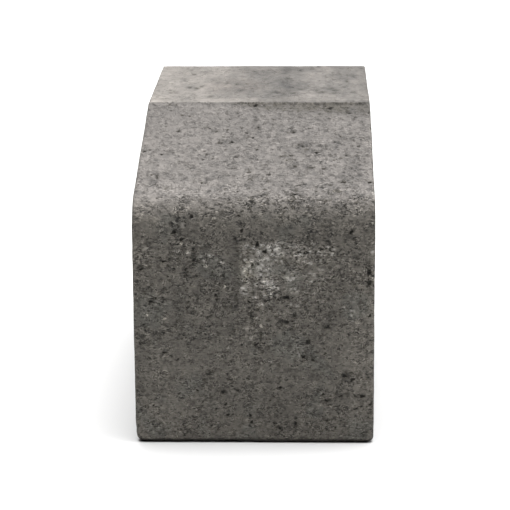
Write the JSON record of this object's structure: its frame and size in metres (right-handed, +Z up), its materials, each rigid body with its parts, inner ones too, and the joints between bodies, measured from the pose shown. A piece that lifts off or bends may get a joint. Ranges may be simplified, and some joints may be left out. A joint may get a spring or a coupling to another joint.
{
  "type": "bullnose kerb sett",
  "caption": "Small precast concrete kerb block with an upright face, rounded nose and sloping front half, laid end to end as a low kerb or drive edging.",
  "frame": {"origin": "centre of the bed, the underside that the block is laid on", "axes": "+Z up from the bed, +X along the kerb line, -Y towards the road side (front face and bullnose), +Y towards the rear face"},
  "size_m": [0.1, 0.2, 0.127],
  "materials": {
    "charcoal_concrete": "dry-pressed charcoal concrete, fine open pitted texture, matt"
  },
  "bodies": {
    "root": {"bullnose_kerb_sett": "charcoal_concrete"}
  },
  "joints": []
}
